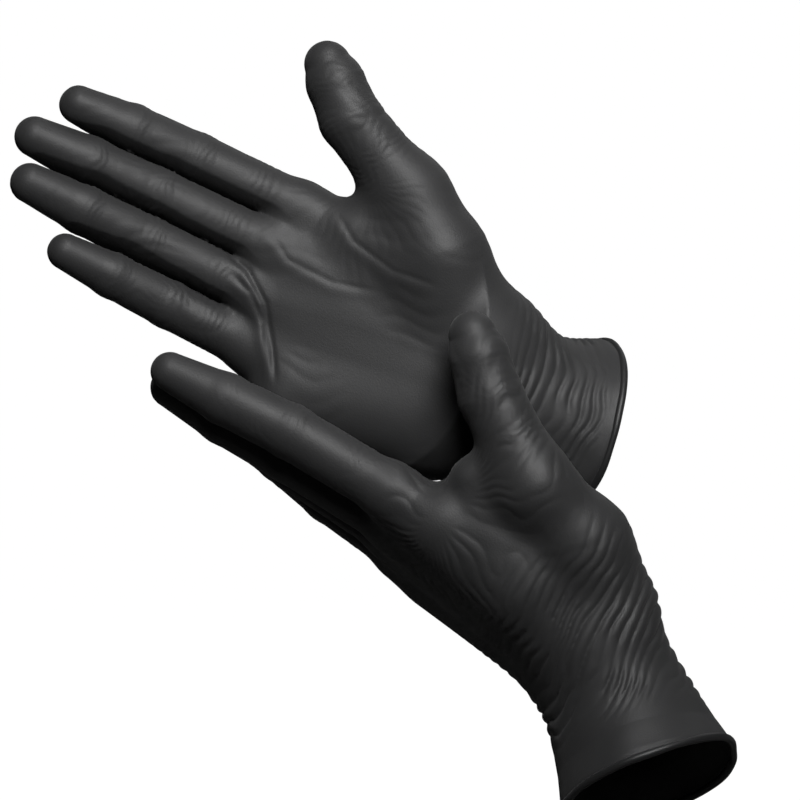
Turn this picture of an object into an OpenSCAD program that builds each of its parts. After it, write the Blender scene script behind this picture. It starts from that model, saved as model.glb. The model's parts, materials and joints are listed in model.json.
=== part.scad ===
// Pair of thin dipped gloves, held in the shape that they take on two clasped hands.
// The right glove shows its palm towards -Y with its fingers towards -X and a little up. The left glove lies
// in front of it and below it, its thumb side towards -Y. The origin is the centre of the right cuff's mouth.
// Sizes inside a hand are given as [forward, thumbward, palmar] from the wrist; each hand's frame places them.

/* [Film] */
// Thickness of the dipped film
film_t = 0.4; // [0.25:0.05:0.6]
// Diameter of the rolled bead round a cuff's mouth
bead_d = 2.6; // [1.6:0.1:4]
// Free gap between two zones of film that move against each other
flex_gap = 0.4; // [0.3:0.1:0.8]

/* [Cuff] */
// Outside radius at a cuff's mouth
mouth_r = 30.5; // [28:0.5:38]
// Outside radius where the sleeve leaves the gathered wrist
sleeve_r = 26.5; // [23:0.5:32]
// Length of the right sleeve, which is bunched up the arm
right_sleeve = 15; // [11:0.5:18]
// Length of the left sleeve
left_sleeve = 24; // [15:0.5:30]
// Outside radius of each side of the flat wrist
wrist_r = 17; // [14:0.5:20]
// Distance from the wrist's middle to the centre of each side
wrist_half = 10; // [7:0.5:14]
// Distance from the wrist's centre to the palm's open end
wrist_reach = 9; // [5:0.5:12]

/* [Finger stalls] */
// Index finger, knuckle to middle joint
index_base = 40; // [30:0.5:50]
// Index finger, middle joint to tip
index_tip = 52; // [40:0.5:62]
// Middle finger, knuckle to middle joint
middle_base = 44; // [34:0.5:54]
// Middle finger, middle joint to tip
middle_tip = 53.5; // [44:0.5:64]
// Ring finger, knuckle to middle joint
ring_base = 41; // [31:0.5:51]
// Ring finger, middle joint to tip
ring_tip = 53; // [43:0.5:63]
// Little finger, knuckle to middle joint
little_base = 33; // [26:0.5:40]
// Little finger, middle joint to tip
little_tip = 47; // [38:0.5:56]
// Outside radius of a finger at its knuckle
finger_r = 7.5; // [6.5:0.1:7.7]
// How much the radius falls from a knuckle to the middle joint
base_taper = 0.5; // [0.2:0.1:1]
// How much the radius falls from the middle joint to the tip
tip_taper = 0.8; // [0.4:0.1:1.5]
// Little finger's radius as a share of the others'
little_share = 0.92; // [0.8:0.01:1]

/* [Thumb stalls] */
// Thumb, knuckle to middle joint
thumb_base = 32; // [26:0.5:38]
// Thumb, middle joint to tip
thumb_tip = 30; // [24:0.5:36]
// Outside radius of the thumb at its knuckle
thumb_r = 10; // [8.5:0.1:11]
// How much the thumb's radius falls over each of its two stalls
thumb_taper = 1; // [0.3:0.1:1.8]

/* [Palm] */
// Outside radius of the palm round a finger's knuckle
knuckle_r = 10.5; // [9:0.1:11.5]
// Outside radius of the ball of the thumb
thenar_r = 15; // [12:0.5:17]

/* [Hidden] */
$fn = 48;
HULL_FN = 24;
SIDES = ["right", "left"];
DIGITS = ["index", "middle", "ring", "little", "thumb"];
CUFF_PARTS = ["palm", "wrist_fold", "cuff", "cuff_bead"];
DIGIT_PARTS = ["base_fold", "base_stall", "middle_fold", "tip_stall"];
FILM = [0.09, 0.09, 0.1];
FOLD = [0.13, 0.13, 0.14];
SLICE = 0.8;
TIP_STEPS = 8;

// Where each digit's knuckle sits in each hand
SEATS = [
    [[80, 20.5, 1], [82.5, 4.7, 1.5], [80.5, -11, 0.5], [73, -26.5, -1], [52, 40.4, 9]],
    [[80, 20.5, 1], [74, 4.7, -2], [75, -11, -1], [70, -26.5, -1], [44.5, 35.7, 25.5]]
];
// The ball of the thumb, where its long palm bone starts
THENAR = [27, 17, 3];
// Direction of each straight digit, and the side its pad faces
FANS = [[-3, -2.9, -1.9, -1.1], [2.5, 2.5, 2, 1.5]];
THUMB_LINES = [[0.915, 0.4, 0.1], [0.87, 0.175, 0.45]];
THUMB_PADS = [[0, -0.85, 0.52], [0.49, 0, -0.87]];
// Bends that each digit holds at its knuckle and at its middle joint
BENDS = [
    [[8, 8], [8, 8], [8, 10], [8, 10], [0, -16]],
    [[-5, -3], [-4, -1], [-2, 3], [0, 4], [0, -6]]
];
// How far a joint lets its digit fold from straight, which sets how far back the film is cut from it
BASE_FOLD = 62;
MIDDLE_FOLD = 75;

function unit(v) = v / norm(v);
function spin(v, axis, a) = cos(a) * v + sin(a) * cross(axis, v) + (1 - cos(a)) * (axis * v) * axis;
// A hand's frame: wrist centre, forward, palmar and thumbward
function hand_frame(wrist, forward, palmar, hand) =
    let (f = unit(forward), p = unit(palmar - (palmar * f) * f)) [wrist, f, p, hand * cross(f, p)];
RIGHT_SLOPE = 27.7;
RIGHT_FACE_UP = 5;
LEFT_SLOPE = 35;
LEFT_FACE_BACK = 16;
HANDS = [
    hand_frame([-27, -14, 15], [-cos(RIGHT_SLOPE), 0, sin(RIGHT_SLOPE)],
        cos(RIGHT_FACE_UP) * [0, -1, 0] + sin(RIGHT_FACE_UP) * [sin(RIGHT_SLOPE), 0, cos(RIGHT_SLOPE)], 1),
    hand_frame([4.4, -30.4, -73.7], [-cos(LEFT_SLOPE), 0.12, sin(LEFT_SLOPE)],
        cos(LEFT_FACE_BACK) * [sin(LEFT_SLOPE), 0, cos(LEFT_SLOPE)] + sin(LEFT_FACE_BACK) * [0, 1, 0], -1)
];
MOUTHS = [[0, 0, 0], [22, -46, -113]];
OUTS = [unit([0.84, 0.42, -0.35]), unit([0.33, -0.4, -0.855])];
SLEEVES = [right_sleeve, left_sleeve];
BASES = [index_base, middle_base, ring_base, little_base, thumb_base];
TIPS = [index_tip, middle_tip, ring_tip, little_tip, thumb_tip];

function turned(hand, v) = v[0] * hand[1] + v[1] * hand[3] + v[2] * hand[2];
function placed(hand, p) = hand[0] + turned(hand, p);
function is_thumb(d) = d == 4;
function seat(s, d) = placed(HANDS[s], SEATS[s][d]);
function line(s, d) = unit(turned(HANDS[s], is_thumb(d) ? THUMB_LINES[s]
    : [cos(FANS[s][d]), sin(FANS[s][d]), 0]));
function pad(s, d) = turned(HANDS[s], is_thumb(d) ? THUMB_PADS[s] : [0, 0, 1]);
function radii(d) = is_thumb(d) ? [thumb_r, thumb_r - thumb_taper, thumb_r - 2 * thumb_taper]
    : (d == 3 ? little_share : 1) * [finger_r, finger_r - base_taper, finger_r - base_taper - tip_taper];
// A digit: knuckle, palm line, base line, middle joint, tip line, hinge axis, radii, cut-back distances, lengths
function digit(s, d) =
    let (
        axis = unit(cross(line(s, d), pad(s, d))),
        first = spin(line(s, d), axis, BENDS[s][d][0]),
        second = spin(first, axis, BENDS[s][d][1]),
        r = radii(d)
    ) [seat(s, d), line(s, d), first, seat(s, d) + BASES[d] * first, second, axis, r,
        [r[0] * tan(BASE_FOLD / 2), r[1] * tan(MIDDLE_FOLD / 2)], [BASES[d], TIPS[d]]];

// Points a child's +Z along v and sets it at p
module aim(p, v) {
    translate(p) rotate([0, acos(v[2]), atan2(v[1], v[0])]) children();
}

// One leg of a sleeve of film from `from` to `to` along v
module leg(p, v, from, to, r1, r2) {
    aim(p + from * v, v) cylinder(h = to - from, r1 = r1, r2 = r2);
}

// A film sleeve that bends by `bend` about `axis`, reaching `reach` either way from the joint at p
module elbow(p, v, axis, bend, reach, r) {
    half = reach - flex_gap / 2;
    if (abs(bend) < 0.5) {
        color(FOLD) difference() {
            leg(p, v, -half, half, r, r);
            leg(p, v, -reach, reach, r - film_t, r - film_t);
        }
    } else {
        k = sign(bend) * axis;
        inward = cross(k, v);
        radius = half / tan(abs(bend) / 2);
        c = p - half * v + radius * inward;
        color(FOLD)
            multmatrix([[-inward[0], v[0], k[0], c[0]], [-inward[1], v[1], k[1], c[1]],
                [-inward[2], v[2], k[2], c[2]]])
            rotate_extrude(angle = abs(bend)) translate([radius, 0]) difference() {
                circle(r);
                circle(r - film_t);
            }
    }
}

module base_fold(s, d) {
    g = digit(s, d);
    elbow(g[0], g[1], g[5], BENDS[s][d][0], g[7][0], g[6][0]);
}

module middle_fold(s, d) {
    g = digit(s, d);
    elbow(g[3], g[2], g[5], BENDS[s][d][1], g[7][1], g[6][1]);
}

module base_stall(s, d) {
    g = digit(s, d);
    from = g[7][0] + flex_gap / 2;
    to = g[8][0] - g[7][1] - flex_gap / 2;
    color(FILM) difference() {
        leg(g[0], g[2], from, to, g[6][0], g[6][1]);
        leg(g[0], g[2], from, to, g[6][0] - film_t, g[6][1] - film_t);
    }
}

// Half outline of a closed finger end: straight taper, then a round tip
function tip_outline(from, to, r1, r2) =
    concat([[0, from], [r1, from]], [for (i = [0:TIP_STEPS]) [r2 * cos(90 * i / TIP_STEPS),
        to + r2 * sin(90 * i / TIP_STEPS)]]);

module tip_stall(s, d) {
    g = digit(s, d);
    from = g[7][1] + flex_gap / 2;
    to = g[8][1] - g[6][2];
    color(FILM) aim(g[3], g[4]) difference() {
        rotate_extrude() polygon(tip_outline(from, to, g[6][1], g[6][2]));
        rotate_extrude() polygon(tip_outline(from - SLICE, to, g[6][1] - film_t, g[6][2] - film_t));
    }
}

// The palm's flat bag as a hull, `inset` inside its outer face and `past` beyond its open ends
module palm_bag(s, inset, past) {
    hull() {
        for (d = [0:3]) {
            g = digit(s, d);
            end = g[7][0] + flex_gap / 2;
            leg(g[0], -g[1], end - past, end + SLICE, knuckle_r - inset, knuckle_r - inset, $fn = HULL_FN);
        }
        for (side = [-1, 1])
            leg(placed(HANDS[s], [wrist_reach, side * wrist_half, 0]), HANDS[s][1], -past, SLICE,
                wrist_r - inset, wrist_r - inset, $fn = HULL_FN);
    }
}

// The film over the thumb's palm bone, from the ball of the thumb to its knuckle
module thumb_bag(s, inset, past) {
    g = digit(s, 4);
    end = g[7][0] + flex_gap / 2;
    hull() {
        translate(placed(HANDS[s], THENAR)) sphere(thenar_r - inset, $fn = HULL_FN);
        leg(g[0], -g[1], end - past, end + SLICE, g[6][0] + 0.6 - inset, g[6][0] + 0.6 - inset, $fn = HULL_FN);
    }
}

module palm(s) {
    color(FILM) difference() {
        union() {
            palm_bag(s, 0, 0);
            thumb_bag(s, 0, 0);
        }
        palm_bag(s, film_t, SLICE);
        thumb_bag(s, film_t, SLICE);
    }
}

// The gathered wrist: from the palm's flat end to the sleeve's round end
module wrist_bag(s, inset, past) {
    hull() {
        for (side = [-1, 1])
            leg(placed(HANDS[s], [wrist_reach - flex_gap, side * wrist_half, 0]), HANDS[s][1], -SLICE, past,
                wrist_r - inset, wrist_r - inset, $fn = HULL_FN);
        leg(MOUTHS[s], -OUTS[s], SLEEVES[s] + flex_gap - past, SLEEVES[s] + flex_gap + SLICE,
            sleeve_r - inset, sleeve_r - inset, $fn = 2 * HULL_FN);
    }
}

module wrist_fold(s) {
    color(FOLD) difference() {
        wrist_bag(s, 0, 0);
        wrist_bag(s, film_t, SLICE);
    }
}

module cuff(s) {
    end = bead_d / 2 + flex_gap / 4;
    color(FILM) difference() {
        leg(MOUTHS[s], -OUTS[s], end, SLEEVES[s], mouth_r, sleeve_r);
        leg(MOUTHS[s], -OUTS[s], end, SLEEVES[s], mouth_r - film_t, sleeve_r - film_t);
    }
}

module cuff_bead(s) {
    color(FILM) aim(MOUTHS[s], OUTS[s]) rotate_extrude() translate([mouth_r - film_t / 2, 0]) circle(d = bead_d);
}

for (s = [0, 1]) {
    side = SIDES[s];
    palm(s);
    wrist_fold(s);
    cuff(s);
    cuff_bead(s);
    for (d = [0:4]) {
        base_fold(s, d);
        base_stall(s, d);
        middle_fold(s, d);
        tip_stall(s, d);
    }
}
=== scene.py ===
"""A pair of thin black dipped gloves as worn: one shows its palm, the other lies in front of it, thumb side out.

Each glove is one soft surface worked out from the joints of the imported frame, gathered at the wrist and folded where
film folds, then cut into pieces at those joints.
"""

import json
import logging
import math
from dataclasses import dataclass, field
from enum import Enum

import bpy
import numpy as np
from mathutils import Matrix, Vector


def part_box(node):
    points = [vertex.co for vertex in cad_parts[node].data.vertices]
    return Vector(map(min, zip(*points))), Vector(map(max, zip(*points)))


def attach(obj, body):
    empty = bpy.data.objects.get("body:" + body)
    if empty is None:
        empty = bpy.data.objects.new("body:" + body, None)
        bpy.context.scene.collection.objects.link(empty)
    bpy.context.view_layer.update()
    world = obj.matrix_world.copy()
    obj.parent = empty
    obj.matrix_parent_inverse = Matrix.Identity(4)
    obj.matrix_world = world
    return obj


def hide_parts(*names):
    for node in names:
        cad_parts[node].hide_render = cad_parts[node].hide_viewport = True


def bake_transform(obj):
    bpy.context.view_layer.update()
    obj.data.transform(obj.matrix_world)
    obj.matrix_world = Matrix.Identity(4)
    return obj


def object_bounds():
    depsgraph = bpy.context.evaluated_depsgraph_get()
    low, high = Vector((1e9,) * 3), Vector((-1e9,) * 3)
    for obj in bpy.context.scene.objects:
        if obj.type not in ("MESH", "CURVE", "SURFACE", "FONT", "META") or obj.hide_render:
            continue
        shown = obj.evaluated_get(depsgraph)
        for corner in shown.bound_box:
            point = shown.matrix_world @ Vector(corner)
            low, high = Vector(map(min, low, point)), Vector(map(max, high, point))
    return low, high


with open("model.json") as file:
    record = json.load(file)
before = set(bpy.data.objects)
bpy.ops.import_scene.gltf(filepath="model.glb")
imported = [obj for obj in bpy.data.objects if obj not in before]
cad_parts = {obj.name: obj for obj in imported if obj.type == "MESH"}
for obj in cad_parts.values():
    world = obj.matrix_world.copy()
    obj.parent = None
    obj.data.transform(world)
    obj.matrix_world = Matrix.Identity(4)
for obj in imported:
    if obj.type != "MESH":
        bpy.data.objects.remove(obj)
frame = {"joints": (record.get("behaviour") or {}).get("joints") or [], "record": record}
CAD_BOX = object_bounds()

LOG = logging.getLogger("gloves")
Array = np.ndarray
MM = 0.001


class Side(Enum):
    """Which hand a glove is on."""

    RIGHT = "right"
    LEFT = "left"


class DigitName(Enum):
    """The five digits, in the order of the frame."""

    INDEX = "index"
    MIDDLE = "middle"
    RING = "ring"
    LITTLE = "little"
    THUMB = "thumb"


class Zone(Enum):
    """The cut of a glove that a face belongs to."""

    PALM = 0
    CUFF = 1
    BASE = 2
    TIP = 3


# ---------------------------------------------------------------------------------------------------- numbers


def unit(v: Array) -> Array:
    """The vector divided by its length.

    Args:
        v: Any vector.

    Returns:
        The unit vector.
    """
    return v / np.linalg.norm(v)


def smooth_min(a: Array, b: Array, width: float) -> Array:
    """The lower of two distances, rounded over where they lie within `width` of each other.

    Args:
        a: First distances.
        b: Second distances.
        width: How far the rounding reaches, in the distances' unit.

    Returns:
        The blended distances.
    """
    h = np.clip(0.5 + 0.5 * (b - a) / width, 0.0, 1.0)
    return b + (a - b) * h - width * h * (1.0 - h)


def ramp(x: Array, start: float, end: float) -> Array:
    """0 before start, 1 after end, and a smooth step 3t^2 - 2t^3 between them.

    Args:
        x: Values.
        start: Where the step starts.
        end: Where it ends.

    Returns:
        The step at each value.
    """
    t = np.clip((x - start) / (end - start), 0.0, 1.0)
    return t * t * (3.0 - 2.0 * t)


def hump(x: Array, centre: float, width: float) -> Array:
    """A bell exp(-((x - centre) / width)^2).

    Args:
        x: Values.
        centre: The top of the bell.
        width: Its half width.

    Returns:
        The bell at each value.
    """
    return np.exp(-(((x - centre) / width) ** 2))


def waves(points: Array, size: float, seed: int, count: int = 14) -> Array:
    """Soft noise: a sum of sine waves in seeded directions, each about `size` long, scaled to about -1..1.

    Args:
        points: Rows of x, y, z.
        size: Typical wave length.
        seed: Picks the directions and phases.
        count: How many waves are added.

    Returns:
        One value for each row.
    """
    rng = np.random.default_rng(seed)
    ways = rng.normal(size=(count, 3))
    ways /= np.linalg.norm(ways, axis=1)[:, None]
    ways *= (2 * np.pi / (size * rng.uniform(0.7, 1.5, count)))[:, None]
    phases = rng.uniform(0, 2 * np.pi, count)
    return np.sin(points @ ways.T + phases).sum(axis=1) / math.sqrt(count / 2) * 0.6


def pleat(phase: Array, sharp: float = 0.75) -> Array:
    """Gathered film: round ridges with narrow valleys at each whole phase, |sin(pi x)|^sharp, from 0 to 1.

    Args:
        phase: Place across the folds, one fold to each whole number.
        sharp: Below 1, the ridges are flatter and the valleys narrower.

    Returns:
        The height at each phase.
    """
    return np.abs(np.sin(np.pi * phase)) ** sharp


# ------------------------------------------------------------------------------------------------------ frame


@dataclass(frozen=True)
class HandFrame:
    """One hand's own axes, in millimetres from its wrist: forward to the fingers, thumbward, and out of the palm."""

    side: Side
    wrist: Array
    axes: Array

    @classmethod
    def of(cls, side: Side, joints: dict[str, dict]) -> "HandFrame":
        """Reads a hand's axes from its wrist joint and its middle and ring knuckles.

        Args:
            side: The hand.
            joints: The frame's joints by name.

        Returns:
            The hand's frame.
        """
        wrist = np.array(joints[f"{side.value}_wrist_bend"]["pos_m"]) / MM
        thumbward = unit(np.array(joints[f"{side.value}_wrist_bend"]["axis"]))
        row = [np.array(joints[f"{side.value}_{d}_knuckle"]["pos_m"]) / MM for d in ("middle", "ring")]
        reach = sum(row) / 2 - wrist
        forward = unit(reach - (reach @ thumbward) * thumbward)
        hand = 1.0 if side is Side.RIGHT else -1.0
        palmar = hand * np.cross(thumbward, forward)
        return cls(side, wrist, np.array([forward, thumbward, palmar]))

    def local(self, world_m: Array) -> Array:
        """Row-frame metres as millimetres [forward, thumbward, palmar].

        Args:
            world_m: Points in the frame.

        Returns:
            The points in the hand's axes.
        """
        return (np.asarray(world_m) / MM - self.wrist) @ self.axes.T

    def world(self, local_mm: Array) -> Array:
        """Millimetres [forward, thumbward, palmar] as row-frame metres.

        Args:
            local_mm: Points in the hand's axes.

        Returns:
            The points in the frame.
        """
        return (np.asarray(local_mm) @ self.axes + self.wrist) * MM

    def turn(self, way: Array) -> Array:
        """A row-frame direction in the hand's axes.

        Args:
            way: The direction.

        Returns:
            The direction in the hand's axes.
        """
        return self.axes @ np.asarray(way)


@dataclass(frozen=True)
class Digit:
    """One digit's joints in its hand's frame, and the glove's radius along it."""

    name: DigitName
    knuckle: Array
    middle: Array
    tip: Array
    radii: tuple[float, float, float, float]

    @property
    def base_line(self) -> Array:
        """Direction from the knuckle to the middle joint."""
        return unit(self.middle - self.knuckle)

    @property
    def tip_line(self) -> Array:
        """Direction from the middle joint to the tip."""
        return unit(self.tip - self.middle)

    @property
    def base_length(self) -> float:
        """Length from the knuckle to the middle joint."""
        return float(np.linalg.norm(self.middle - self.knuckle))

    @property
    def tip_length(self) -> float:
        """Length from the middle joint to the tip."""
        return float(np.linalg.norm(self.tip - self.middle))

    def height(self, forward: Array) -> Array:
        """How far out of the palm the digit's middle line lies at each distance forward.

        Args:
            forward: Distances forward.

        Returns:
            The heights.
        """
        line = np.array([self.knuckle, self.middle, self.tip])
        return np.interp(forward, line[:, 0], line[:, 2])


DIGIT_RADII = {
    DigitName.INDEX: (8.9, 8.9, 8.4, 6.3),
    DigitName.MIDDLE: (9.0, 9.0, 8.6, 6.6),
    DigitName.RING: (8.8, 8.8, 8.2, 6.5),
    DigitName.LITTLE: (8.2, 8.0, 7.4, 5.9),
    DigitName.THUMB: (11.2, 10.3, 9.5, 7.6),
}
# How far a stall's square end stands from its middle joint, as a share of the stall's radius there
STALL_SETBACK = math.tan(math.radians(75 / 2))


def read_digit(hand: HandFrame, name: DigitName, joints: dict[str, dict]) -> Digit:
    """Finds a digit's joints and tip; the tip stall runs from its setback to the tip, about its own box's centre.

    Args:
        hand: The digit's hand.
        name: The digit.
        joints: The frame's joints by name.

    Returns:
        The digit, in millimetres in the hand's frame.
    """
    stem = f"{hand.side.value}_{name.value}"
    knuckle = hand.local(joints[f"{stem}_knuckle"]["pos_m"])
    middle = hand.local(joints[f"{stem}_middle"]["pos_m"])
    low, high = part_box(f"{stem}_tip_stall")
    centre = hand.local((np.array(low) + np.array(high)) / 2)
    reach = np.linalg.norm(centre - middle)
    setback = STALL_SETBACK * DIGIT_RADII[name][1] * 0.9
    length = 2 * reach - setback + 1.8
    return Digit(name, knuckle, middle, middle + unit(centre - middle) * length, DIGIT_RADII[name])


@dataclass(frozen=True)
class CuffLine:
    """The sleeve's straight axis in its hand's frame, with the glove's width and depth along it."""

    mouth: Array
    out: Array
    across: Array
    through: Array
    stations: tuple[float, ...]
    widths: tuple[float, ...]
    depths: tuple[float, ...]

    @classmethod
    def of(cls, hand: HandFrame) -> "CuffLine":
        """Reads a sleeve's mouth and direction from its mount.

        Args:
            hand: The sleeve's hand.

        Returns:
            The sleeve's axis and section.
        """
        mount = next(m for m in frame["record"]["mounts"] if m["name"] == f"{hand.side.value}_wrist")
        mouth, out = hand.local(mount["pos_m"]), unit(hand.turn(mount["axis"]))
        across = unit(np.array([0.0, 1.0, 0.0]) - out[1] * out)
        through = np.cross(out, across)
        back = float(mouth @ out)
        stations = (-back - 14, -back, -back * 0.5, -back * 0.25, -2.0, 6.0)
        if hand.side is Side.RIGHT:
            return cls(mouth, out, across, through, stations, (25, 24, 25, 27.5, 30, 31), (17, 18, 23, 26, 29.5, 30.5))
        return cls(mouth, out, across, through, stations, (26, 25.5, 25, 26.5, 29.5, 30.5), (18, 21, 25, 27, 29.5, 30))

    def along(self, points: Array) -> tuple[Array, Array, Array]:
        """Distance past the mouth, and the offsets across and through the sleeve, of each point.

        Args:
            points: Rows in the hand's frame.

        Returns:
            The distance and the two offsets.
        """
        d = points - self.mouth
        return d @ self.out, d @ self.across, d @ self.through

    def distance(self, points: Array) -> Array:
        """Distance to an oval tube: (|(u / a, v / b)| - 1) min(a, b), with a and b read along the axis.

        Args:
            points: Rows in the hand's frame.

        Returns:
            The distances.
        """
        s, u, v = self.along(points)
        a = np.interp(s, self.stations, self.widths)
        b = np.interp(s, self.stations, self.depths)
        tube = (np.sqrt((u / a) ** 2 + (v / b) ** 2) - 1.0) * np.minimum(a, b)
        return np.maximum(tube, np.maximum(self.stations[0] - s, s - self.stations[-1]))


def round_cone(points: Array, a: Array, b: Array, ra: float, rb: float) -> Array:
    """Distance to a rod from a to b whose radius runs from ra to rb.

    Args:
        points: Rows of x, y, z.
        a: One end.
        b: The other end.
        ra: Radius at a.
        rb: Radius at b.

    Returns:
        The distances.
    """
    line = b - a
    d = points - a
    h = np.clip(d @ line / (line @ line), 0.0, 1.0)
    return np.linalg.norm(d - h[:, None] * line, axis=1) - (ra + (rb - ra) * h)


# --------------------------------------------------------------------------------------------- glove's surface


@dataclass
class GloveShape:
    """The smooth outside of one worn glove, as a distance in its hand's frame, with its folds."""

    hand: HandFrame
    digits: list[Digit]
    cuff: CuffLine
    heel_r: float = 15.5
    thumb_join: float = 9.0
    finger_join: float = 3.5
    finger_gap: float = 1.1
    finger_slant: float = 0.3
    bones: list[tuple[Array, Array, float, float]] = field(default_factory=list)

    def __post_init__(self) -> None:
        """Lays the hand's palm bones from the wrist to each knuckle, and the ball and heel of the palm."""
        left = self.hand.side is Side.LEFT
        spread = {DigitName.INDEX: 0.55, DigitName.MIDDLE: 0.5, DigitName.RING: 0.6, DigitName.LITTLE: 0.62}
        swell = {DigitName.INDEX: 0.6, DigitName.MIDDLE: 1.4, DigitName.RING: 1.0, DigitName.LITTLE: 1.4}
        for digit in self.digits[:4]:
            k = digit.knuckle
            root = np.array([6.0, k[1] * spread[digit.name], 0.0])
            self.bones.append((root, k + np.array([2.0, 0.0, 0.0]), self.heel_r, digit.radii[0] + swell[digit.name]))
        thumb = self.digits[4]
        if left:
            ball, middle = np.array([5.0, 14.0, 14.5]), np.array([22.0, 24.5, 22.5])
        else:
            ball = np.array([14.0, 13.0, 4.0])
            middle = ball + (thumb.knuckle - ball) * 0.5 + np.array([2.0, 0.5, 2.0])
        self.bones.append((ball, middle, 14.5, 14.3))
        self.bones.append((middle, thumb.knuckle, 14.3, thumb.radii[0] + 0.6))
        edge = np.array([0.0, 0.0, 0.0]) if left else np.array([0.0, -11.0, -4.4])
        self.bones.append((np.array([12.0, -14.0, 3.0]) + edge, np.array([58.0, -25.0, 3.0]) + edge, 14.0, 11.5))
        web = (self.digits[0].knuckle + thumb.knuckle) / 2
        reach = np.array([0.0, 2.0, 4.0]) if left else np.array([-12.0, -4.0, 0.0])
        self.bones.append((np.array([30.0, 20.0, 3.0]), web + reach, 11.0, 7.5))
        self.bones.append((np.array([32.0, 15.0, 4.0]), np.array([62.0, 22.0, 3.0]), 12.5, 9.5))

    def palm_distance(self, points: Array) -> Array:
        """Distance to the palm and sleeve: their rods and tube, joined smoothly.

        Args:
            points: Rows in the hand's frame.

        Returns:
            The distances.
        """
        out = round_cone(points, *self.bones[0])
        for bone in self.bones[1:]:
            out = smooth_min(out, round_cone(points, *bone), self.thumb_join)
        return smooth_min(out, self.cuff.distance(points), 13.0)

    def digit_distance(self, points: Array, digit: Digit) -> Array:
        """Distance to one digit: three rods from the knuckle over its two bends to its tip.

        Args:
            points: Rows in the hand's frame.
            digit: The digit.

        Returns:
            The distances.
        """
        r0, r1, r2, r3 = digit.radii
        far = digit.middle + digit.tip_line * digit.tip_length * 0.48
        end = digit.tip - digit.tip_line * r3
        out = round_cone(points, digit.knuckle, digit.middle, r0, r1)
        out = smooth_min(out, round_cone(points, digit.middle, far, r1, r2), 1.5)
        return smooth_min(out, round_cone(points, far, end, r2, r3), 1.5)

    def __call__(self, points: Array) -> Array:
        """Distance to the whole glove: each digit joins the palm smoothly and stays apart from its neighbours.

        Args:
            points: Rows in the hand's frame.

        Returns:
            The distances.
        """
        palm = self.palm_distance(points)
        raw = [self.digit_distance(points, digit) for digit in self.digits]
        out = palm
        for i, digit in enumerate(self.digits):
            own = raw[i]
            if digit.name is DigitName.THUMB:
                out = np.minimum(out, smooth_min(palm, own, self.thumb_join))
                continue
            for j in (i - 1, i + 1):
                if 0 <= j < 4:
                    slant = (j - i) * self.finger_slant * (points[:, 2] - digit.height(points[:, 0]))
                    own = np.maximum(own, (own - raw[j] + self.finger_gap) / 2 + slant)
            out = np.minimum(out, smooth_min(palm, own, self.finger_join))
        return out

    def gradient(self, points: Array, step: float = 0.2) -> Array:
        """Unit slope of the distance by central differences, which is the outward direction.

        Args:
            points: Rows in the hand's frame.
            step: Half the difference taken.

        Returns:
            One unit direction for each point.
        """
        grads = [self(points + way) - self(points - way) for way in np.eye(3) * step]
        g = np.stack(grads, axis=1)
        return g / np.maximum(np.linalg.norm(g, axis=1), 1e-9)[:, None]

    # -- folds -----------------------------------------------------------------------------------------------

    def wrist_pleats(self, p: Array) -> Array:
        """Film gathered at the wrist: close, shallow lanes that swell and die out along their length.

        The left hand's lanes run flat across one slanting direction, the right hand's follow its mouth.

        Args:
            p: Rows in the hand's frame.

        Returns:
            The heights.
        """
        s, u, v = self.cuff.along(p)
        back = -self.cuff.stations[1]
        if self.hand.side is Side.LEFT:
            across = self.hand.turn(unit(np.array([0.89, 0.0, -0.45])))
            lane = p @ across / 3.5
            gate = ramp(s, -back - 34, -back - 8) * (1 - ramp(s, -27.0, -13.0))
            depth = 1.0
        else:
            lane = (s + 3.5 * np.cos(np.arctan2(v, u) - 2.4)) / 3.4
            gate = ramp(s, -back - 12, -back + 1) * (1 - ramp(s, -8.0, -3.0))
            depth = 0.9
        lane = lane + 0.42 * waves(p, 26.0, 11) + 0.12 * waves(p, 10.0, 12)
        swell = 0.25 + 0.75 * ramp(waves(p, 15.0, 13), -0.6, 0.6)
        return gate * swell * depth * (pleat(lane) - 0.6)

    def sleeve_waves(self, p: Array) -> Array:
        """The loose sleeve: shallow waves round it and along it.

        Args:
            p: Rows in the hand's frame.

        Returns:
            The heights.
        """
        s, u, v = self.cuff.along(p)
        angle = np.arctan2(v, u)
        gate = ramp(s, -26.0, -8.0)
        return gate * (0.5 * np.sin(3 * angle + 0.8) + 0.35 * np.sin(5 * angle - s * 0.08) + 0.2 * waves(p, 14.0, 21))

    def digit_creases(self, p: Array, digit: Digit) -> Array:
        """Short cross folds inside each bend of a digit, and shallow twists of loose film along it.

        Args:
            p: Rows in the hand's frame.
            digit: The digit.

        Returns:
            The heights.
        """
        near = 1 - ramp(self.digit_distance(p, digit), 0.5, 3.0)
        inner = 0.35 + 0.65 * ramp(p[:, 2] - digit.height(p[:, 0]), -4.0, 4.0)
        out = np.zeros(len(p))
        places = (
            (digit.knuckle + digit.base_line * 17.0, digit.base_line, 5.0, 0.2),
            (digit.middle, digit.tip_line, 5.5, 0.16),
            (digit.middle + digit.tip_line * digit.tip_length * 0.46, digit.tip_line, 4.0, 0.12),
        )
        for i, (at, way, reach, depth) in enumerate(places):
            s = (p - at) @ way
            lane = s / 2.3 + 0.5 * waves(p, 9.0, 31 + i)
            out += depth * hump(s, 0.0, reach) * (pleat(lane, 0.9) - 0.6)
        along = (p - digit.knuckle) @ digit.base_line
        twist = along / 6.5 + waves(p, 13.0, 41) + p[:, 1] * 0.06
        out = out * inner + 0.08 * (pleat(twist, 1.2) - 0.5) * ramp(waves(p, 22.0, 42), -0.1, 0.6)
        return near * out

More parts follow.
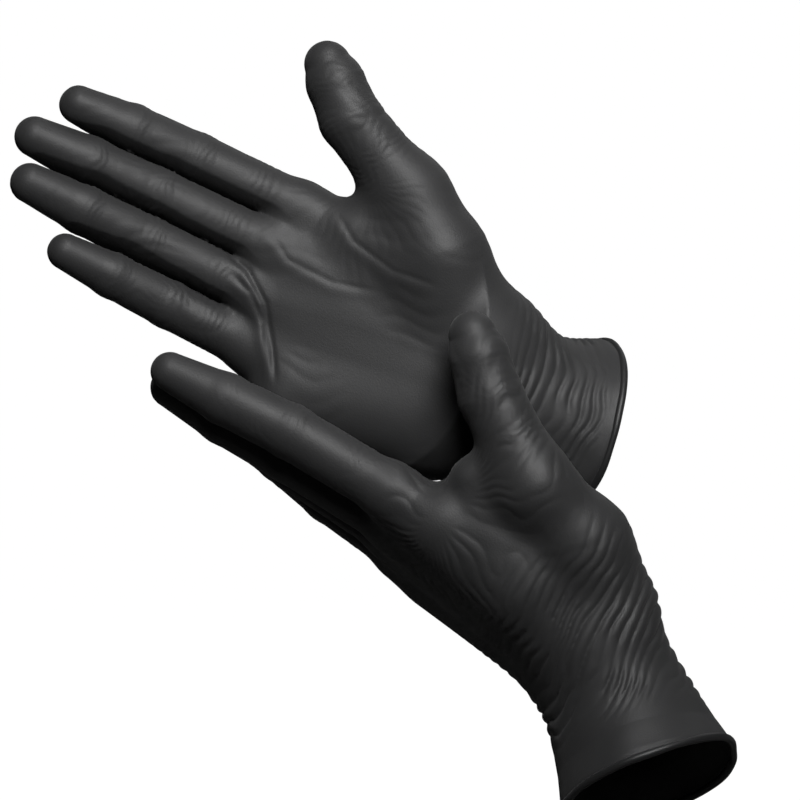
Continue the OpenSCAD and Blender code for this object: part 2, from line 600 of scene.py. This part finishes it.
    def web_fan(self, p: Array) -> Array:
        """Film pulled out of the crook of the thumb: folds that fan out from it over the palm and the back.

        Args:
            p: Rows in the hand's frame.

        Returns:
            The heights.
        """
        thumb = self.digits[4]
        crook = (self.digits[0].knuckle * 0.45 + thumb.knuckle * 0.55) + np.array([2.0, 4.0, 0.0])
        d = p - crook
        reach = np.linalg.norm(d[:, :2], axis=1)
        angle = np.degrees(np.arctan2(d[:, 1], -d[:, 0]))
        lane = angle / 11.0 + 0.45 * waves(p, 15.0, 51)
        gate = ramp(reach, 3.0, 9.0) * (1 - ramp(reach, 20.0, 42.0))
        strength = 0.45 if self.hand.side is Side.LEFT else 0.12
        return strength * gate * (pleat(lane, 0.8) - 0.6) * (0.6 + 0.4 * waves(p, 14.0, 52))

    def palm_folds(self, p: Array) -> Array:
        """The curved folds of a cupped palm, each a valley beside a roll, and faint lines where film is stretched.

        Args:
            p: Rows in the hand's frame.

        Returns:
            The heights.
        """
        face = ramp(p[:, 2], 0.0, 6.0)
        out = np.zeros(len(p))
        folds = (
            (((99, -3), (88, -6), (78, -13), (69, -25), (62, -36)), 0.75),
            (((94, -9), (84, -12), (75, -19), (68, -30)), 0.5),
            (((92, 11), (78, 3), (62, 3), (44, 8)), 0.22),
            (((74, 26), (62, 18), (46, 15), (28, 17)), 0.25),
        )
        for points, depth in folds:
            line = np.array(points, float)
            side, fade = signed_offset(p[:, :2], line)
            out += depth * fade * (0.8 * hump(side, 2.2, 1.9) - hump(side, 0.0, 0.9))
        stretch = pleat((p[:, 0] * 0.55 + p[:, 1] * 0.9) / 7.0 + 0.8 * waves(p, 24.0, 61), 1.3) - 0.5
        soft = ramp(waves(p, 30.0, 62), 0.0, 0.7)
        return face * (out + 0.12 * stretch * soft)

    def folds(self, p: Array) -> Array:
        """All the folds together, as a height along the outward direction.

        Args:
            p: Rows in the hand's frame.

        Returns:
            The heights.
        """
        s, _, _ = self.cuff.along(p)
        out = self.wrist_pleats(p) + self.sleeve_waves(p)
        body = 1 - ramp(s, self.cuff.stations[1] - 6, self.cuff.stations[1] + 8)
        rest = self.web_fan(p) + self.palm_folds(p)
        for digit in self.digits:
            rest = rest + self.digit_creases(p, digit)
        return out + body * rest


def signed_offset(points: Array, line: Array) -> tuple[Array, Array]:
    """Sideways distance of flat points from a line of straight runs, with a fade to 0 past its two ends.

    Args:
        points: Rows of x, y.
        line: The line's corners, in order.

    Returns:
        The signed distance from the nearest run, and the fade.
    """
    best = np.full(len(points), np.inf)
    side = np.zeros(len(points))
    place = np.zeros(len(points))
    for i, (a, b) in enumerate(zip(line[:-1], line[1:])):
        run = b - a
        d = points - a
        t = np.clip(d @ run / (run @ run), 0.0, 1.0)
        off = d - t[:, None] * run
        far = np.linalg.norm(off, axis=1)
        cross = (run[0] * d[:, 1] - run[1] * d[:, 0]) / np.linalg.norm(run)
        take = far < best
        best = np.where(take, far, best)
        side = np.where(take, np.sign(cross) * far, side)
        place = np.where(take, i + t, place)
    runs = len(line) - 1
    return side, ramp(place, 0.0, 0.7) * (1 - ramp(place, runs - 0.7, float(runs)))


# ---------------------------------------------------------------------------------------------------- meshing


@dataclass(frozen=True)
class Skin:
    """A surface: its points, its four-sided faces, and each point's outward direction."""

    points: Array
    faces: Array
    normals: Array


CORNERS = np.array([[i, j, k] for i in (0, 1) for j in (0, 1) for k in (0, 1)])
EDGES = np.array([[a, b] for a in range(8) for b in range(a + 1, 8) if np.abs(CORNERS[a] - CORNERS[b]).sum() == 1])


def sample(shape: GloveShape, low: Array, cell: float, counts: Array, level: float) -> Array:
    """Samples a distance on a grid, in full only near the surface.

    A coarse grid of blocks, four cells wide, is sampled first. The blocks that the surface may cross are then
    sampled at every point, and the rest keep their block's value.

    Args:
        shape: The distance.
        low: The grid's lowest corner.
        cell: Spacing of the fine grid.
        counts: Number of blocks along each axis.
        level: The distance that counts as the surface.

    Returns:
        The distance less the level, on the fine grid.
    """
    axes = [low[i] + (np.arange(counts[i]) * 4 + 1.5) * cell for i in range(3)]
    centres = np.stack(np.meshgrid(*axes, indexing="ij"), axis=-1).reshape(-1, 3)
    blocks = (shape(centres) - level).reshape(counts)
    fine = blocks.repeat(4, 0).repeat(4, 1).repeat(4, 2)
    near = np.argwhere(np.abs(blocks) < cell * 7.5)
    steps = np.stack(np.meshgrid(*[np.arange(4)] * 3, indexing="ij"), axis=-1).reshape(-1, 3)
    cells = (near[:, None, :] * 4 + steps[None, :, :]).reshape(-1, 3)
    for part in np.array_split(cells, max(1, len(cells) // 400000)):
        fine[part[:, 0], part[:, 1], part[:, 2]] = shape(low + part * cell) - level
    return fine


def surface_net(values: Array, low: Array, cell: float) -> tuple[Array, Array]:
    """Puts one point in each cell that the surface crosses, at the mean of its edge crossings, and joins them.

    Args:
        values: Signed distance on a grid.
        low: The grid's lowest corner.
        cell: The grid's spacing.

    Returns:
        The points, and four-sided faces that point towards rising distance.
    """
    inside = values < 0
    shape = np.array(values.shape)
    mixed = np.zeros(shape - 1, bool)
    first = inside[:-1, :-1, :-1]
    for corner in CORNERS[1:]:
        window = tuple(slice(c, n - 1 + c) for c, n in zip(corner, shape))
        mixed |= inside[window] != first
    cells = np.argwhere(mixed)
    index = np.full(shape - 1, -1, np.int64)
    index[tuple(cells.T)] = np.arange(len(cells))
    at = cells[:, None, :] + CORNERS[None]
    v = values[at[..., 0], at[..., 1], at[..., 2]]
    a, b = v[:, EDGES[:, 0]], v[:, EDGES[:, 1]]
    cross = (a < 0) != (b < 0)
    t = np.where(cross, a / np.where(cross, a - b, 1.0), 0.0)
    spots = CORNERS[EDGES[:, 0]] + t[..., None] * (CORNERS[EDGES[:, 1]] - CORNERS[EDGES[:, 0]])
    mean = (spots * cross[..., None]).sum(1) / cross.sum(1)[:, None]
    points = low + (cells + mean) * cell
    faces = []
    for axis in range(3):
        one, two = (axis + 1) % 3, (axis + 2) % 3
        lower = [slice(1, -1)] * 3
        upper = [slice(1, -1)] * 3
        lower[axis], upper[axis] = slice(0, -1), slice(1, None)
        here, there = inside[tuple(lower)], inside[tuple(upper)]
        spot = np.argwhere(here != there)
        out = here[tuple(spot.T)]
        spot[:, one] += 1
        spot[:, two] += 1
        ring = []
        for da, db in ((0, 0), (-1, 0), (-1, -1), (0, -1)):
            c = spot.copy()
            c[:, one] += da
            c[:, two] += db
            ring.append(index[tuple(c.T)])
        quad = np.stack(ring, axis=1)
        quad[~out] = quad[~out][:, ::-1]
        faces.append(quad)
    quads = np.concatenate(faces)
    return points, quads[(quads >= 0).all(1)]


def relax(points: Array, faces: Array, shape: GloveShape, level: float, rounds: int) -> Array:
    """Evens out a net: each point moves half way to its neighbours' mean, then back onto the surface.

    Args:
        points: The net's points.
        faces: Its four-sided faces.
        shape: The distance.
        level: The distance that counts as the surface.
        rounds: How many times this is done.

    Returns:
        The moved points.
    """
    a = faces.reshape(-1)
    b = np.roll(faces, -1, axis=1).reshape(-1)
    count = np.bincount(a, minlength=len(points)) + np.bincount(b, minlength=len(points))
    for _ in range(rounds):
        mean = np.stack(
            [
                np.bincount(a, points[b, i], len(points)) + np.bincount(b, points[a, i], len(points))
                for i in range(3)
            ],
            axis=1,
        ) / np.maximum(count, 1)[:, None]
        points = points * 0.5 + mean * 0.5
        points = points - shape.gradient(points) * (shape(points) - level)[:, None]
    return points


def point_normals(points: Array, faces: Array) -> Array:
    """Outward direction at each point: the sum of its faces' areas along their normals, made unit.

    Args:
        points: The net's points.
        faces: Its four-sided faces.

    Returns:
        One unit direction for each point.
    """
    p = points[faces]
    n = np.cross(p[:, 2] - p[:, 0], p[:, 3] - p[:, 1])
    out = np.stack([np.bincount(faces.reshape(-1), np.repeat(n[:, i], 4), len(points)) for i in range(3)], axis=1)
    return out / np.maximum(np.linalg.norm(out, axis=1), 1e-12)[:, None]


# Steps round the mouth and round the bead's own section
MOUTH_STEPS = 240
BEAD_STEPS = 20


@dataclass
class Glove:
    """One glove: its film cut into pieces at the joints, and its rolled bead."""

    side: Side
    cell: float = 0.62
    film: float = 0.35
    bead_r: float = 1.25
    shape: GloveShape = field(init=False)
    hand: HandFrame = field(init=False)
    pieces: list[bpy.types.Object] = field(default_factory=list)

    def __post_init__(self) -> None:
        """Reads the hand from the frame."""
        joints = {j["name"]: j for j in frame["joints"]}
        self.hand = HandFrame.of(self.side, joints)
        digits = [read_digit(self.hand, name, joints) for name in DigitName]
        self.shape = GloveShape(self.hand, digits, CuffLine.of(self.hand))

    def skin(self, cell: float, level: float) -> Skin:
        """Meshes the glove at one level and raises its folds.

        Args:
            cell: Spacing of the mesh.
            level: Distance from the smooth outside.

        Returns:
            The surface in the hand's frame, without what lies past the sleeve's mouth.
        """
        ends = np.array([p for d in self.shape.digits for p in (d.knuckle, d.middle, d.tip)] + [self.shape.cuff.mouth])
        low = ends.min(0) - np.array([34.0, 34.0, 34.0])
        high = ends.max(0) + np.array([12.0, 14.0, 34.0])
        counts = np.ceil((high - low) / (4 * cell)).astype(int)
        points, faces = surface_net(sample(self.shape, low, cell, counts, level), low, cell)
        points = relax(points, faces, self.shape, level, 3)
        normals = point_normals(points, faces)
        points = points + normals * self.shape.folds(points - normals * level)[:, None]
        normals = point_normals(points, faces)
        middle = points[faces].mean(1)
        s, _, _ = self.shape.cuff.along(middle)
        faces = faces[s < self.mouth_line(middle)]
        return Skin(points, faces, normals)

    def mouth_line(self, points: Array) -> Array:
        """How far past the sleeve's plane its edge wanders, as two waves round the mouth.

        Args:
            points: Rows in the hand's frame.

        Returns:
            The distance at each point.
        """
        _, u, v = self.shape.cuff.along(points)
        angle = np.arctan2(v, u)
        return 0.9 * np.sin(2 * angle + 0.6) + 0.5 * np.sin(3 * angle + 2.0)

    def zones(self, points: Array) -> tuple[Array, Array]:
        """The cut that each point belongs to.

        Args:
            points: Rows in the hand's frame.

        Returns:
            The zone's number, and the digit's number where the zone is a digit's.
        """
        zone = np.full(len(points), Zone.PALM.value)
        owner = np.zeros(len(points), int)
        start, end = self.wrist_bend()
        cuff = (points - start) @ (end - start) > 0
        near = np.full(len(points), np.inf)
        for i, digit in enumerate(self.shape.digits):
            root = digit.knuckle - digit.base_line * (26.0 if i == 4 else 22.0)
            d = np.minimum(
                self.shape.digit_distance(points, digit),
                round_cone(points, root, digit.knuckle, digit.radii[0], digit.radii[0]),
            )
            owner = np.where(d < near, i, owner)
            near = np.minimum(near, d)
        for i, digit in enumerate(self.shape.digits):
            mine = (owner == i) & ~cuff
            start, end = self.knuckle_bend(digit)
            zone[mine & ((points - start) @ (end - start) > 0)] = Zone.BASE.value
            zone[mine & ((points - digit.knuckle) @ digit.base_line > digit.base_length * 0.5)] = Zone.TIP.value
        zone[cuff] = Zone.CUFF.value
        return zone, owner

    def wrist_bend(self) -> tuple[Array, Array]:
        """Where the film starts and stops bending over the wrist.

        Returns:
            The two ends of the stretch.
        """
        return np.array([14.0, 0.0, 0.0]), self.shape.cuff.out * 14.0

    def knuckle_bend(self, digit: Digit) -> tuple[Array, Array]:
        """Where the film starts and stops bending over a knuckle.

        Args:
            digit: The digit.

        Returns:
            The two ends of the stretch.
        """
        back, on = (12.0, 11.0) if digit.name is DigitName.THUMB else (11.0, 10.0)
        return digit.knuckle - digit.base_line * back, digit.knuckle + digit.base_line * on

    def middle_bend(self, digit: Digit) -> tuple[Array, Array]:
        """Where the film starts and stops bending over a middle joint.

        Args:
            digit: The digit.

        Returns:
            The two ends of the stretch.
        """
        reach = min(9.0, digit.base_length * 0.45)
        return digit.middle - digit.base_line * reach, digit.middle + digit.tip_line * reach

    def build(self) -> None:
        """Meshes the outside and the inside, cuts both into pieces, and rolls the bead."""
        coarse = self.cell
        outside = self.skin(coarse, 0.0)
        inside = self.skin(max(1.5, coarse), -self.film)
        inside = Skin(inside.points, inside.faces[:, ::-1], -inside.normals)
        cuts = [(skin, *self.zones(skin.points[skin.faces].mean(1))) for skin in (outside, inside)]
        stem = self.side.value
        for zone in Zone:
            for i, digit in enumerate(self.shape.digits if zone in (Zone.BASE, Zone.TIP) else [None]):
                parts = []
                for skin, zones, owners in cuts:
                    mine = zones == zone.value
                    if digit is not None:
                        mine &= owners == i
                    parts.append(Skin(skin.points, skin.faces[mine], skin.normals))
                self.place(zone, digit, parts, stem)
        self.roll_bead(stem)

    def place(self, zone: Zone, digit: Digit | None, parts: list[Skin], stem: str) -> None:
        """Makes one cut's object; the palm's cut is tied to the palm's body, the other cuts are not tied to a body.

        Args:
            zone: The cut.
            digit: The digit, where the cut is a digit's.
            parts: The cut's outside and inside.
            stem: The side's name.
        """
        if zone is Zone.PALM:
            piece = make_piece(f"{stem}_palm_film", parts, self.hand)
            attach(piece, f"{stem}_palm")
            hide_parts(f"{stem}_palm")
        elif zone is Zone.CUFF:
            piece = make_piece(f"{stem}_cuff_film", parts, self.hand)
            self.bend(piece, f"{stem}_palm", f"{stem}_cuff", self.wrist_bend())
            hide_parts(f"{stem}_wrist_fold", f"{stem}_cuff")
        elif zone is Zone.BASE:
            name = f"{stem}_{digit.name.value}"
            piece = make_piece(f"{name}_base_film", parts, self.hand)
            self.bend(piece, f"{stem}_palm", f"{name}_base", self.knuckle_bend(digit))
            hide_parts(f"{name}_base_fold", f"{name}_base_stall")
        else:
            name = f"{stem}_{digit.name.value}"
            piece = make_piece(f"{name}_tip_film", parts, self.hand)
            self.bend(piece, f"{name}_base", f"{name}_tip", self.middle_bend(digit))
            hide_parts(f"{name}_middle_fold", f"{name}_tip_stall")
        self.pieces.append(piece)
        LOG.info("%s: %d faces", piece.name, len(piece.data.polygons))

    def bend(self, piece: bpy.types.Object, a: str, b: str, ends: tuple[Array, Array]) -> None:
        """Bakes a piece's placement into its points; the piece is not tied to the two bodies and does not bend over
        the stretch.

        Args:
            piece: The piece.
            a: The body at the start; not used.
            b: The body at the end; not used.
            ends: The two ends of the stretch.
        """
        start, end = (tuple(self.hand.world(p)) for p in ends)
        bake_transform(piece)

    def roll_bead(self, stem: str) -> None:
        """Rolls the bead: a round section carried round the sleeve's edge.

        The edge's radius at each angle is found by halving the distance's sign along a ray from the axis.

        Args:
            stem: The side's name.
        """
        cuff = self.shape.cuff
        angle = np.linspace(0, 2 * np.pi, MOUTH_STEPS, endpoint=False)
        ray = np.cos(angle)[:, None] * cuff.across + np.sin(angle)[:, None] * cuff.through
        lift = self.mouth_line(cuff.mouth + ray)
        start = cuff.mouth + lift[:, None] * cuff.out
        low, high = np.full(MOUTH_STEPS, 18.0), np.full(MOUTH_STEPS, 42.0)
        for _ in range(24):
            r = (low + high) / 2
            inside = self.shape(start + r[:, None] * ray) < 0
            low, high = np.where(inside, r, low), np.where(inside, high, r)
        edge = start + low[:, None] * ray
        edge = edge + (self.shape.folds(edge) - self.film / 2)[:, None] * ray
        turn = np.linspace(0, 2 * np.pi, BEAD_STEPS, endpoint=False)
        thick = self.bead_r * (1 + 0.06 * np.sin(5 * angle) + 0.05 * np.sin(9 * angle + 1))
        ring = (
            edge[:, None, :]
            + (thick[:, None] * np.cos(turn))[..., None] * ray[:, None, :]
            + (thick[:, None] * np.sin(turn))[..., None] * cuff.out
        )
        points = ring.reshape(-1, 3)
        i, j = np.meshgrid(np.arange(MOUTH_STEPS), np.arange(BEAD_STEPS), indexing="ij")
        i, i2 = i * BEAD_STEPS, (i + 1) % MOUTH_STEPS * BEAD_STEPS
        j2 = (j + 1) % BEAD_STEPS
        faces = np.stack([i + j, i2 + j, i2 + j2, i + j2], axis=-1).reshape(-1, 4)
        normals = point_normals(points, faces)
        if ((points - np.repeat(edge, BEAD_STEPS, axis=0)) * normals).sum() < 0:
            faces, normals = faces[:, ::-1], -normals
        piece = make_piece(f"{stem}_cuff_bead_roll", [Skin(points, faces, normals)], self.hand)
        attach(piece, f"{stem}_cuff")
        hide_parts(f"{stem}_cuff_bead")
        self.pieces.append(piece)

    def dress(self, film: bpy.types.Material, bead: bpy.types.Material) -> None:
        """Gives each piece its finish.

        Args:
            film: The film's finish.
            bead: The bead's finish.
        """
        for piece in self.pieces:
            piece.data.materials.clear()
            piece.data.materials.append(bead if piece.name.endswith("roll") else film)


def make_piece(name: str, parts: list[Skin], hand: HandFrame) -> bpy.types.Object:
    """Makes an object of one or more skins, with the normals that its whole glove has there.

    Args:
        name: The object's name.
        parts: The skins.
        hand: The frame that their points are in.

    Returns:
        The object, at the origin, in metres.
    """
    points, faces, normals, base = [], [], [], 0
    for part in parts:
        used, renumbered = np.unique(part.faces, return_inverse=True)
        points.append(hand.world(part.points[used]))
        normals.append(part.normals[used] @ hand.axes)
        faces.append(renumbered.reshape(-1, 4) + base)
        base += len(used)
    co, quads, no = np.concatenate(points), np.concatenate(faces), np.concatenate(normals)
    if hand.side is Side.RIGHT:
        quads = quads[:, ::-1]
    mesh = bpy.data.meshes.new(name)
    mesh.vertices.add(len(co))
    mesh.vertices.foreach_set("co", co.astype(np.float32).ravel())
    mesh.loops.add(quads.size)
    mesh.loops.foreach_set("vertex_index", quads.astype(np.int32).ravel())
    mesh.polygons.add(len(quads))
    mesh.polygons.foreach_set("loop_start", np.arange(0, quads.size, 4, dtype=np.int32))
    mesh.polygons.foreach_set("loop_total", np.full(len(quads), 4, np.int32))
    mesh.polygons.foreach_set("use_smooth", np.ones(len(quads), bool))
    mesh.update(calc_edges=True)
    mesh.validate()
    mesh.normals_split_custom_set_from_vertices(no.tolist())
    piece = bpy.data.objects.new(name, mesh)
    bpy.context.scene.collection.objects.link(piece)
    return piece


# --------------------------------------------------------------------------------------------------- finishes


@dataclass
class Nodes:
    """Adds and joins shader nodes in one tree."""

    tree: bpy.types.NodeTree

    def add(self, kind: str, **values: object) -> bpy.types.Node:
        """Adds a node; each keyword sets an attribute, or the input of that name with spaces as underscores.

        Args:
            kind: The node's type.
            **values: Attributes and input values.

        Returns:
            The node.
        """
        node = self.tree.nodes.new(kind)
        for key, value in values.items():
            if hasattr(node, key):
                setattr(node, key, value)
            else:
                node.inputs[key.replace("_", " ")].default_value = value
        return node

    def join(self, source: bpy.types.NodeSocket, target: bpy.types.NodeSocket) -> None:
        """Links an output to an input.

        Args:
            source: The output.
            target: The input.
        """
        self.tree.links.new(source, target)

    def math(self, kind: str, a: bpy.types.NodeSocket, b: bpy.types.NodeSocket | float) -> bpy.types.NodeSocket:
        """Adds a math node on one socket and another socket or a number.

        Args:
            kind: The operation's name.
            a: The first socket.
            b: The second socket or number.

        Returns:
            The result.
        """
        node = self.add("ShaderNodeMath", operation=kind)
        self.join(a, node.inputs[0])
        if isinstance(b, float):
            node.inputs[1].default_value = b
        else:
            self.join(b, node.inputs[1])
        return node.outputs[0]


class DippedGrain:
    """The surface that dipping leaves: a fine pebble, faint runs, and stretch that clouds tone and gloss."""

    NAME = "dipped_grain"
    INPUTS = (("Vector", "NodeSocketVector"), ("Pebble", "NodeSocketFloat"), ("Cloud", "NodeSocketFloat"))
    OUTPUTS = (("Tone", "NodeSocketFloat"), ("Gloss", "NodeSocketFloat"), ("Height", "NodeSocketFloat"))

    @classmethod
    def group(cls) -> bpy.types.NodeTree:
        """Builds the group once.

        Height is a fine noise plus a pebble of cells; tone and gloss are broad clouds, a little broken by the pebble.

        Returns:
            The node group.
        """
        if cls.NAME in bpy.data.node_groups:
            return bpy.data.node_groups[cls.NAME]
        tree = bpy.data.node_groups.new(cls.NAME, "ShaderNodeTree")
        for name, kind in cls.INPUTS:
            tree.interface.new_socket(name=name, in_out="INPUT", socket_type=kind)
        for name, kind in cls.OUTPUTS:
            tree.interface.new_socket(name=name, in_out="OUTPUT", socket_type=kind)
        n = Nodes(tree)
        enter, leave = n.add("NodeGroupInput"), n.add("NodeGroupOutput")
        fine = n.add("ShaderNodeTexNoise", Scale=2600.0, Detail=3.0, Roughness=0.6)
        cells = n.add("ShaderNodeTexVoronoi", Scale=1500.0, Randomness=1.0)
        broad = n.add("ShaderNodeTexNoise", Scale=34.0, Detail=3.0, Roughness=0.55)
        runs = n.add("ShaderNodeTexNoise", Scale=140.0, Detail=4.0, Roughness=0.6)
        for texture in (fine, cells, broad, runs):
            n.join(enter.outputs["Vector"], texture.inputs["Vector"])
        pebble = n.math("MULTIPLY", cells.outputs["Distance"], enter.outputs["Pebble"])
        height = n.math("ADD", n.math("MULTIPLY", fine.outputs["Fac"], 0.5), pebble)
        height = n.math("ADD", height, n.math("MULTIPLY", runs.outputs["Fac"], 0.8))
        cloud = n.math("MULTIPLY", n.math("SUBTRACT", broad.outputs["Fac"], 0.5), enter.outputs["Cloud"])
        speck = n.math("MULTIPLY", n.math("SUBTRACT", runs.outputs["Fac"], 0.5), 0.3)
        both = n.math("ADD", cloud, speck)
        n.join(both, leave.inputs["Tone"])
        n.join(n.math("ADD", cloud, n.math("MULTIPLY", fine.outputs["Fac"], 0.2)), leave.inputs["Gloss"])
        n.join(height, leave.inputs["Height"])
        return tree


@dataclass(frozen=True)
class FilmFinish:
    """Thin black dipped film: satin, faintly clouded where it is stretched."""

    name: str
    deep: tuple[float, float, float]
    lit: tuple[float, float, float]
    roughness: float
    pebble: float
    cloud: float
    bump: float
    coat: float

    def material(self) -> bpy.types.Material:
        """Builds the finish.

        Returns:
            The material.
        """
        material = bpy.data.materials.new(self.name)
        material.use_nodes = True
        tree = material.node_tree
        tree.nodes.clear()
        n = Nodes(tree)
        out = n.add("ShaderNodeOutputMaterial")
        skin = n.add("ShaderNodeBsdfPrincipled")
        skin.inputs["Specular IOR Level"].default_value = 0.3
        skin.inputs["Coat Weight"].default_value = self.coat
        skin.inputs["Coat Roughness"].default_value = 0.38
        skin.inputs["Sheen Weight"].default_value = 0.06
        skin.inputs["Sheen Roughness"].default_value = 0.5
        place = n.add("ShaderNodeTexCoord")
        grain = n.add("ShaderNodeGroup")
        grain.node_tree = DippedGrain.group()
        grain.inputs["Pebble"].default_value = self.pebble
        grain.inputs["Cloud"].default_value = self.cloud
        n.join(place.outputs["Object"], grain.inputs["Vector"])
        tone = n.add("ShaderNodeMapRange", From_Min=-0.35, From_Max=0.35)
        n.join(grain.outputs["Tone"], tone.inputs["Value"])
        mix = n.add("ShaderNodeMix", data_type="RGBA")
        n.join(tone.outputs["Result"], mix.inputs["Factor"])
        mix.inputs[6].default_value = (*self.deep, 1.0)
        mix.inputs[7].default_value = (*self.lit, 1.0)
        n.join(mix.outputs[2], skin.inputs["Base Color"])
        gloss = n.add("ShaderNodeMapRange", From_Min=-0.3, From_Max=0.5)
        gloss.inputs["To Min"].default_value = self.roughness - 0.07
        gloss.inputs["To Max"].default_value = self.roughness + 0.07
        n.join(grain.outputs["Gloss"], gloss.inputs["Value"])
        n.join(gloss.outputs["Result"], skin.inputs["Roughness"])
        bump = n.add("ShaderNodeBump", Strength=self.bump, Distance=0.0002)
        n.join(grain.outputs["Height"], bump.inputs["Height"])
        n.join(bump.outputs["Normal"], skin.inputs["Normal"])
        n.join(skin.outputs["BSDF"], out.inputs["Surface"])
        return material


SATIN_FILM = FilmFinish("satin_film", (0.019, 0.019, 0.0195), (0.027, 0.027, 0.0275), 0.56, 0.35, 0.8, 0.35, 0.03)
ROLLED_BEAD = FilmFinish("rolled_bead", (0.010, 0.010, 0.0105), (0.016, 0.016, 0.0165), 0.45, 0.2, 0.5, 0.25, 0.08)


# ------------------------------------------------------------------------------------------------------ studio


@dataclass(frozen=True)
class SoftLight:
    """A broad soft light, placed and aimed from the middle of the object; its spread is in degrees."""

    name: str
    offset: tuple[float, float, float]
    aim: tuple[float, float, float]
    size: float
    power: float
    spread: float

    def place(self, middle: Array) -> None:
        """Hangs the light and turns it to the object's middle.

        Args:
            middle: The middle of the object.
        """
        data = bpy.data.lights.new(self.name, "AREA")
        data.shape, data.size, data.energy = "DISK", self.size, self.power
        data.spread = math.radians(self.spread)
        lamp = bpy.data.objects.new(self.name, data)
        lamp.location = middle + np.array(self.offset)
        to = np.array(self.aim) - np.array(self.offset)
        lamp.rotation_euler = look_along(to)
        bpy.context.scene.collection.objects.link(lamp)


def look_along(way: Array) -> tuple[float, float, float]:
    """Euler angles that turn an object's -Z along a direction, with its +Y up.

    Args:
        way: The direction.

    Returns:
        The angles, in radians.
    """
    flat = math.hypot(way[0], way[1])
    return math.pi / 2 + math.atan2(way[2], flat), 0.0, math.atan2(-way[0], way[1])


# Where the frame's centre falls in the object's box, as shares of its width and its height
FRAME_CENTRE = (0.5379, 0.5392)


@dataclass
class Studio:
    """A pale floor that sweeps up behind, soft lights from above, and the camera."""

    low: Array
    high: Array
    distance: float = 1.5
    view_width: float = 0.264
    lights: tuple[SoftLight, ...] = (
        SoftLight("key", (0.16, -0.6, 0.48), (-0.01, 0.0, 0.1), 0.45, 1.35, 62.0),
        SoftLight("top", (0.1, -0.2, 1.2), (-0.03, 0.0, 0.05), 0.8, 0.75, 120.0),
        SoftLight("back", (0.5, 0.9, 0.9), (0.0, 0.0, 0.0), 0.8, 1.0, 180.0),
    )

    def sweep(self) -> None:
        """Makes the floor and wall: a flat run, a quarter turn and an upright run, carried sideways."""
        floor, back, bend, reach = float(self.low[2]) - 0.03, 3.6, 0.8, 4.5
        turn = np.linspace(0, np.pi / 2, 24)
        y = np.concatenate([[-3.6], back - bend + bend * np.sin(turn), [back]])
        z = np.concatenate([[floor], floor + bend - bend * np.cos(turn), [floor + 5.0]])
        x = np.array([-reach, reach])
        points = np.stack([np.repeat(x, len(y)), np.tile(y, 2), np.tile(z, 2)], axis=1)
        i = np.arange(len(y) - 1)
        faces = np.stack([i, i + len(y), i + len(y) + 1, i + 1], axis=1)
        mesh = bpy.data.meshes.new("sweep")
        mesh.from_pydata(points.tolist(), [], faces.tolist())
        mesh.polygons.foreach_set("use_smooth", np.ones(len(faces), bool))
        sweep = bpy.data.objects.new("sweep", mesh)
        bpy.context.scene.collection.objects.link(sweep)
        material = bpy.data.materials.new("pale_paper")
        material.use_nodes = True
        material.node_tree.nodes.clear()
        n = Nodes(material.node_tree)
        out, mix = n.add("ShaderNodeOutputMaterial"), n.add("ShaderNodeMixShader")
        paper = n.add("ShaderNodeBsdfDiffuse", Color=(0.1, 0.1, 0.1, 1.0))
        glow = n.add("ShaderNodeEmission", Strength=1.0)
        path = n.add("ShaderNodeLightPath")
        seen = n.add("ShaderNodeAddShader")
        n.join(path.outputs["Is Camera Ray"], mix.inputs[0])
        n.join(paper.outputs[0], mix.inputs[1])
        n.join(paper.outputs[0], seen.inputs[0])
        n.join(glow.outputs[0], seen.inputs[1])
        n.join(seen.outputs[0], mix.inputs[2])
        n.join(mix.outputs[0], out.inputs["Surface"])
        mesh.materials.append(material)

    def air(self) -> None:
        """Sets a dim even world light and plain tones."""
        world = bpy.data.worlds.new("air")
        world.use_nodes = True
        world.node_tree.nodes["Background"].inputs["Color"].default_value = (1.0, 1.0, 1.0, 1.0)
        world.node_tree.nodes["Background"].inputs["Strength"].default_value = 0.02
        bpy.context.scene.world = world
        bpy.context.scene.view_settings.view_transform = "Standard"

    def camera(self) -> None:
        """Puts the camera level in front of the pair, a long lens on a 36 mm sensor.

        The lens is distance / view width x 36 mm, so that the view's width fills the frame at the origin's depth.
        """
        data = bpy.data.cameras.new("camera")
        data.sensor_width = 36.0
        data.lens = 36.0 * self.distance / self.view_width
        eye = bpy.data.objects.new("camera", data)
        share = np.array([FRAME_CENTRE[0], 0.0, FRAME_CENTRE[1]])
        spot = self.low + share * (self.high - self.low)
        eye.location = (spot[0], -self.distance, spot[2])
        eye.rotation_euler = (math.pi / 2, 0.0, 0.0)
        bpy.context.scene.collection.objects.link(eye)
        bpy.context.scene.camera = eye

    def build(self) -> None:
        """Makes the sweep, the lights and the camera."""
        self.sweep()
        self.air()
        middle = (self.low + self.high) / 2
        for light in self.lights:
            light.place(middle)
        self.camera()


def main() -> None:
    """Builds the studio and both gloves."""
    logging.basicConfig(level=logging.INFO, format="%(message)s")
    Studio(*(np.array(corner, float) for corner in CAD_BOX)).build()
    film, bead = SATIN_FILM.material(), ROLLED_BEAD.material()
    for side in Side:
        glove = Glove(side)
        glove.build()
        glove.dress(film, bead)
        LOG.info("%s glove: %d pieces", side.value, len(glove.pieces))


if __name__ == "__main__":
    main()
